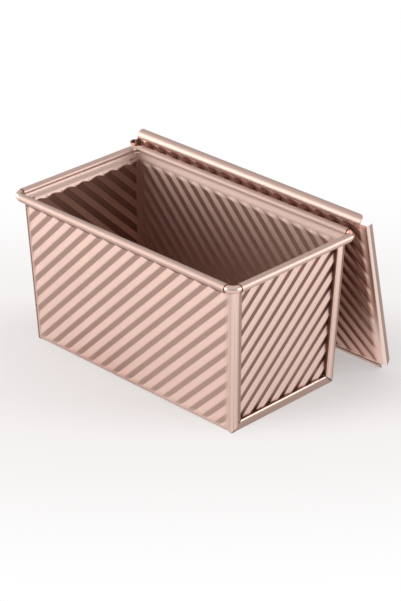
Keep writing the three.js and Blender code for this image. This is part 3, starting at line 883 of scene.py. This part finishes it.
def buildSeams():
    s = seam
    gap, top, w, low, r = s["mitreGap"], s["top"], s["width"], s["footWidth"], s["foldRadius"]
    legs = []
    for side, word in ((-1, "front"), (1, "back")):
        shade = s["shade"] if side < 0 else s["shade"][::-1]

        # painted shade: crease on the inner edge's arc and side, edge on the lap and hem lines and on the
        # back upright's fold
        def coatAt(c, depth):
            if c > w - s["innerRadius"] - slack["level"] and depth < 0:
                return 2
            onLap, onHem = r < c < r + s["lap"], w - s["hem"][0] < c < w - s["hem"][1]
            return int(onLap or onHem or side > 0 and c < r)

        def atMitre(c):
            z = c * low / w + gap
            return side * (wallAt(z) - c), z

        def atTop(c):
            return side * (wallAt(top) - c), top

        legCoats = (coats["seam"], coats["edge"], coats["crease"])
        outline = seamOutline(w, s["pillow"])
        legs.append(seamLeg("seam_" + word, outline, (atMitre, atTop), legCoats, coatAt, shade))

    # painted shade (crease) on the hidden side, painted highlight (hem) along the top edge
    def footCoatAt(c, depth):
        if c > low - slack["level"] and depth < 0:
            return 2
        return int(c > low - s["hem"][1])

    def atFront(c):
        return -(wallAt(c) - c * w / low - gap), c

    def atBack(c):
        return wallAt(c) - c * w / low - gap, c

    footCoats = (coats["foot"], coats["hem"], coats["crease"])
    outline = seamOutline(low, s["footPillow"])
    legs.append(seamLeg("seam_foot", outline, (atFront, atBack), footCoats, footCoatAt))
    return legs


# the same shader group paints shade across the uprights, with no stripes
shadeFlanks(coats["seam"], longWall["stripes"], (1, 1, 1), seam["paintedUprightShade"])
rightSeams = buildSeams()
leftSeams = [turned(leg, "left_" + leg.name, halfTurn) for leg in rightSeams]
for leg in rightSeams:
    leg.name = "right_" + leg.name
print("seams", len(rightSeams) + len(leftSeams))

# Rim wire

wire = {
    "radius": 2.36,
    "bareRadius": 2.55,        # in the bends, where no roll covers it
    "swellPart": 0.2,          # of a bend, over which the wire comes up to that
    "sides": 28,
    "bendSteps": 16,
}


def buildWire():
    s = wire
    x, y, r = rim["wireX"] - rim["bend"], rim["wireY"] - rim["bend"], rim["bend"]
    rings = []
    for cx, cy, start in ((x, y, 0), (-x, y, 90), (-x, -y, 180), (x, -y, 270)):
        for step in range(s["bendSteps"] + 1):
            t = step / s["bendSteps"]
            way = math.radians(start + 90 * t)
            swell = min(1, min(t, 1 - t) / s["swellPart"])
            radius = s["radius"] + (s["bareRadius"] - s["radius"]) * swell
            ring = []
            for side in range(s["sides"]):
                a = 2 * math.pi * side / s["sides"]
                reach = r + radius * math.cos(a)
                height = rim["wireZ"] + radius * math.sin(a)
                ring.append((cx + reach * math.cos(way), cy + reach * math.sin(way), height))
            rings.append(ring)
    piece = closedSolid("wire_loop", rings, closed=True)
    piece.data.materials.append(coats["wire"])
    return bake(piece)


wireLoop = buildWire()
print("rim wire", len(wireLoop.data.polygons))

# Lid, made flat in its own axes and then leaned on the back rim

lid = {
    "railAt": 58.446,          # middle of a rail, from the middle of the lid
    "railRadius": 4.36,
    "railWrap": 190,
    "railSteps": 34,
    "railLead": ((0.55, 0.62), (0.42, 0.18), (0.2, 0.02)),   # in from a rail's middle, down from its top
    "railFrom": -105.4,
    "railTo": 106.6,
    "railTrim": 5,             # cut off the free edge of a rail's right end
    "railTrimOver": (0.4, 0.75),   # part of the way round the rail
    "sharpAbove": 50,          # degrees
    "sink": 0.55,              # striped field below the rails' tops
    "plateInset": 0.35,        # from a rail's middle to the plate's edge
    "flangeAt": fromFrame(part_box("lid")[1].x),
    "flangeBend": 1.9,
    "bendSteps": 8,
    "flangeDepth": 6.3,
    "flangeStep": 0.6,
    "flangeBow": 0.3,
    "flangeBright": (-0.7, 0.5),  # painted from this far past the bend's start: a painted highlight down to this far above its end, painted shade below
    "chamfer": 3.0,
    "curlAt": -108.0,
    "curlRadius": 3.0,
    "curlWrap": 292,
    "curlSteps": 36,
    "curlHalf": 55.45,
    "curlFrom": 0.2,           # past the rails' left ends
    "lean": 12.1,
    "floorGap": 0.2,
    "restGap": 0.3,
    # painted shade over the lid's striped field, on its dark flanks, and on the flanks of its back
    "paintedFieldShade": (0.78, 0.68, 0.65),
    "paintedFlankShade": (0.52, 0.42, 0.385),
    "paintedBackShade": (0.74, 0.69, 0.67),
    "curlFade": (3.0, 8.0),
    "flangeFade": (2.2, 8.4),
    "fadeSteps": (5, 7),       # rows across these two
    "margin": (1.7, 6.2),      # the plate falls away here, before the flange
    "marginDrop": 1.0,
    "railFade": (0.8, 2.4),
    "railFadeLines": 5,
    "crease": (0.25, 1.65),    # a fine crease in front of the flange's bend
    "creaseDepth": 0.12,
    "creaseSteps": 8,
    "stripes": {
        "pitch": 8.84,
        "height": 1.05,
        "angle": 135.3,
        "firstCrest": 2.52,
        "brightFlank": 0.74,
        "tipRounding": 0.12,
        "hold": 0.25,
        "level": 0,
        "side": 1,
    },
}


def lidPlace():
    lean = math.radians(lid["lean"])
    footZ = lid["railRadius"] + lid["floorGap"]
    standOff = lid["railRadius"] + rim["rollRadius"] + lid["restGap"]
    footY = rim["wireY"] + (standOff + (rim["wireZ"] - footZ) * math.sin(lean)) / math.cos(lean)
    place = Vector((0, footY - lid["railAt"] * math.sin(lean), footZ + lid["railAt"] * math.cos(lean)))
    return Matrix.Translation(place * mm) @ Matrix.Rotation(math.pi / 2 + lean, 4, "X")


def buildLidPlate():
    s = lid
    top = s["railRadius"] - s["sink"]
    inner = s["curlRadius"] - pan["sheet"]
    bendAt, edgeAt = s["flangeAt"] - s["flangeBend"], top - s["marginDrop"] - s["flangeBend"]
    flangeFoot = s["railRadius"] - s["flangeDepth"]
    curl = arcPoints((s["curlAt"], top + inner), inner, -90 - s["curlWrap"], s["curlWrap"], s["curlSteps"])
    fadeIn = s["curlAt"] + np.linspace(*s["curlFade"], s["fadeSteps"][0] + 1)
    fadeOut = bendAt - np.linspace(*s["flangeFade"], s["fadeSteps"][1] + 1)[::-1]
    creaseFrom, creaseTo = s["crease"]
    crease = bendAt - np.linspace(creaseTo, 0, s["creaseSteps"] + 1)[1:]
    count = int((fadeOut[0] - fadeIn[-1]) / pan["cell"])
    middle = np.linspace(fadeIn[-1], fadeOut[0], count + 1)[1:-1]
    x = np.concatenate([fadeIn, middle, fadeOut, crease])
    fromCrease = np.abs(bendAt - x - (creaseFrom + creaseTo) / 2)
    dip = np.clip(1 - fromCrease * 2 / (creaseTo - creaseFrom), 0, 1)
    flat = np.stack([x, top - s["creaseDepth"] * dip], 1)
    flat[:, 1] -= s["marginDrop"] * (1 - ramp(bendAt - x, *s["margin"]))
    bend = arcPoints((bendAt, edgeAt), s["flangeBend"], 90, -90, s["bendSteps"])
    drop = linePoints((s["flangeAt"], edgeAt), (s["flangeAt"], flangeFoot), s["flangeStep"])
    drop[:, 0] -= s["flangeBow"] * np.linspace(0, 1, len(drop)) ** 2
    profile = joinPoints(curl, flat, bend, drop)
    x, h = profile[:, 0][:, None], profile[:, 1][:, None]
    wide = s["railAt"] - s["plateInset"]
    half = np.where(x < s["railFrom"] - s["curlFrom"], s["curlHalf"], wide)
    lines = fadeLines((0,), s["railFade"], s["railFadeLines"], s["plateInset"])
    w = spacedColumns(half, lines, lines)
    cut = np.clip(s["chamfer"] - (h - flangeFoot), 0, s["chamfer"])
    cut = np.where((x > bendAt) & (h < edgeAt + slack["level"]), cut, 0)
    w = np.where(w < 0, w * (1 - cut / wide), w)
    points = np.stack([x * np.ones_like(w), w, h * np.ones_like(w)], -1)
    piece = gridSheet("lid_plate", points, flip=True)

    def liftOf(x, w, h):
        ends = ramp(x - s["curlAt"], *s["curlFade"]) * ramp(bendAt - x, *s["flangeFade"])
        onPlate = (h > edgeAt) * (h < top + slack["level"])
        return ends * ramp(s["railAt"] - np.abs(w), *s["railFade"]) * onPlate

    low = s["curlAt"] + s["curlFade"][0] - slack["edge"]
    high = bendAt - s["flangeFade"][0] + slack["edge"]

    def inField(x, w, h):
        return low < x < high

    piece = pressSheet(piece, s["stripes"], (0, 1, 1), inField, liftOf, coats["lid"])
    # painted highlight (hem) on the flange's bend, painted shade (edge) on its lower part, a shaded copy
    # (lidBack) on the plate's back
    for name in ("hem", "edge", "lidBack"):
        piece.data.materials.append(coats[name])
    for face in piece.data.polygons:
        x, _, h = face.center / mm
        if x > bendAt + s["flangeBright"][0]:
            face.material_index = 1 if h > edgeAt + s["flangeBright"][1] else 2
        elif face.normal.z < -facing["aslant"]:
            face.material_index = 3
    return piece


def buildLidRail(name, side):
    s = lid
    at, r = s["railAt"], s["railRadius"]
    lead = np.array([(at - inwards, r - down) for inwards, down in s["railLead"]])
    profile = joinPoints(lead, arcPoints((at, 0), r, 90, -s["railWrap"], s["railSteps"]))
    trim = s["railTrim"] * ramp(np.linspace(0, 1, len(profile)), *s["railTrimOver"])
    ends = []
    for x in (np.full(len(profile), s["railFrom"]), s["railTo"] - trim):
        ends.append(np.stack([x, side * profile[:, 0], profile[:, 1]], -1))
    piece = gridSheet(name, np.stack(ends), flip=side > 0)
    piece.data.materials.append(coats["rail"])
    addWall(piece)
    return bake(piece, s["sharpAbove"])


shadeFlanks(coats["lid"], lid["stripes"], lid["paintedFlankShade"], lid["paintedFieldShade"])
shadeFlanks(coats["lidBack"], lid["stripes"], lid["paintedBackShade"])
lidPieces = [buildLidPlate(), buildLidRail("lid_rail_top", 1), buildLidRail("lid_rail_foot", -1)]
for piece in lidPieces:
    piece.data.transform(lidPlace())
print("lid", len(lidPieces[0].data.polygons))

# Bodies and the nodes that the pieces stand for

troughPieces = [frontWall, backWall, floorSheet] + rightSeams + leftSeams
for node, body, slot, pieces in (
    ("pan_trough", "pan", "coated_sheet", troughPieces),
    ("end_panel_right", "pan", "coated_sheet", [rightPanel]),
    ("end_panel_left", "pan", "coated_sheet", [leftPanel]),
    ("rim_wire", "pan", "coated_wire", [wireLoop]),
    ("lid", "lid", "lid_sheet", lidPieces),
):
    for piece in pieces:
        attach(piece, body)
        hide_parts(node)
print("pieces riding")

# Floor, lamps and world

studio = {
    "floorReach": 6,
    "floorColor": (0.83, 0.815, 0.81),
    "floorRoughness": 0.9,
    "floorSpecular": 0.1,
    "paleColor": (0.90, 0.872, 0.865),   # of the floor's glow beside the pan, which turns white further out
    "nearGlow": 0.42,           # the glow's part in the floor beside the pan, as the camera sees it
    "fade": (0.06, 0.12),       # where it comes up to all of the floor
    "mirrorFade": (0.033, 0.062),   # and where it does so in the pan's own reflections
    "whiten": (0.07, 0.30),
    "fadeTurn": 44.9,           # the fades are ovals, longest this far round from X
    "fadeShape": (1 / 0.45, 1, 1),
    "world": (0.35, 0.8),       # away from the soft sky light and towards it
    "worldFrom": (-0.3, -0.2, 0.93),
    "worldSpan": (-0.1, 0.8),
    "lampsAim": (0, 0, 0.05),
    "lamps": {
        "frontLeft": {"azimuth": -141, "elevation": 15, "distance": 1.5, "size": (2.2, 0.95), "glow": 3.5},
        "rightSide": {"azimuth": 25, "elevation": 16, "distance": 1.6, "size": (1.9, 0.9), "glow": 2.6},
    },
}


def buildFloor():
    mesh = bpy.data.meshes.new("floor")
    r = studio["floorReach"]
    mesh.from_pydata([(-r, -r, 0), (r, -r, 0), (r, r, 0), (-r, r, 0)], [], [(0, 1, 2, 3)])
    plane = newObject("floor", mesh)
    material = bpy.data.materials.new("paleFloor")
    material.use_nodes = True
    tree = material.node_tree
    shader = tree.nodes["Principled BSDF"]
    shader.inputs["Base Color"].default_value = (*studio["floorColor"], 1)
    shader.inputs["Roughness"].default_value = studio["floorRoughness"]
    shader.inputs["Specular IOR Level"].default_value = studio["floorSpecular"]
    place = addNode(tree, "ShaderNodeTexCoord")
    oval = addNode(tree, "ShaderNodeMapping", vector_type="TEXTURE")
    oval.inputs["Rotation"].default_value = (0, 0, math.radians(studio["fadeTurn"]))
    oval.inputs["Scale"].default_value = studio["fadeShape"]
    tree.links.new(place.outputs["Object"], oval.inputs["Vector"])
    length = addNode(tree, "ShaderNodeVectorMath", operation="LENGTH")
    tree.links.new(oval.outputs[0], length.inputs[0])
    seenFade = addFade(tree, length.outputs["Value"], studio["fade"], (studio["nearGlow"], 1))
    mirrorFade = addFade(tree, length.outputs["Value"], studio["mirrorFade"])
    whiten = addFade(tree, length.outputs["Value"], studio["whiten"])
    rays = addNode(tree, "ShaderNodeLightPath").outputs
    seen = addMath(tree, "MULTIPLY", seenFade, rays["Is Camera Ray"])
    mirrored = addMath(tree, "MAXIMUM", rays["Is Glossy Ray"], rays["Is Transmission Ray"])
    mirrored = addMath(tree, "MULTIPLY", mirrorFade, mirrored)
    pale = addNode(tree, "ShaderNodeMix", data_type="RGBA")
    tree.links.new(whiten, pale.inputs[0])
    pale.inputs[6].default_value = (*studio["paleColor"], 1)
    pale.inputs[7].default_value = (1, 1, 1, 1)
    glow = addNode(tree, "ShaderNodeEmission")
    tree.links.new(pale.outputs[2], glow.inputs["Color"])
    blend = addNode(tree, "ShaderNodeMixShader")
    tree.links.new(addMath(tree, "MAXIMUM", seen, mirrored), blend.inputs[0])
    tree.links.new(shader.outputs[0], blend.inputs[1])
    tree.links.new(glow.outputs[0], blend.inputs[2])
    tree.links.new(blend.outputs[0], tree.nodes["Material Output"].inputs["Surface"])
    mesh.materials.append(material)


def buildLamp(name, look):
    a, e = math.radians(look["azimuth"]), math.radians(look["elevation"])
    way = Vector((math.cos(a) * math.cos(e), math.sin(a) * math.cos(e), math.sin(e)))
    data = bpy.data.lights.new(name, "AREA")
    data.shape = "RECTANGLE"
    data.size, data.size_y = look["size"]
    data.energy = math.pi * look["glow"] * look["size"][0] * look["size"][1]
    lamp = bpy.data.objects.new(name, data)
    lamp.visible_camera = False
    bpy.context.scene.collection.objects.link(lamp)
    lamp.location = Vector(studio["lampsAim"]) + way * look["distance"]
    lamp.rotation_euler = way.to_track_quat("Z", "Y").to_euler()


def buildWorld():
    world = bpy.data.worlds.new("studio")
    bpy.context.scene.world = world
    world.use_nodes = True
    tree = world.node_tree
    soft = tree.nodes["Background"]
    way = addNode(tree, "ShaderNodeTexCoord")
    toLight = addNode(tree, "ShaderNodeVectorMath", operation="DOT_PRODUCT")
    toLight.inputs[1].default_value = Vector(studio["worldFrom"]).normalized()
    tree.links.new(way.outputs["Generated"], toLight.inputs[0])
    strength = addFade(tree, toLight.outputs["Value"], studio["worldSpan"], studio["world"])
    soft.inputs["Color"].default_value = (1, 1, 1, 1)
    tree.links.new(strength, soft.inputs["Strength"])
    white = addNode(tree, "ShaderNodeBackground")
    white.inputs["Strength"].default_value = 1
    rays = addNode(tree, "ShaderNodeLightPath")
    blend = addNode(tree, "ShaderNodeMixShader")
    tree.links.new(rays.outputs["Is Camera Ray"], blend.inputs[0])
    tree.links.new(soft.outputs[0], blend.inputs[1])
    tree.links.new(white.outputs[0], blend.inputs[2])
    tree.links.new(blend.outputs[0], tree.nodes["World Output"].inputs["Surface"])


buildFloor()
for lampName, lampLook in studio["lamps"].items():
    buildLamp(lampName, lampLook)
buildWorld()
bpy.context.scene.view_settings.view_transform = "Standard"
print("studio set")

bpy.context.view_layer.update()
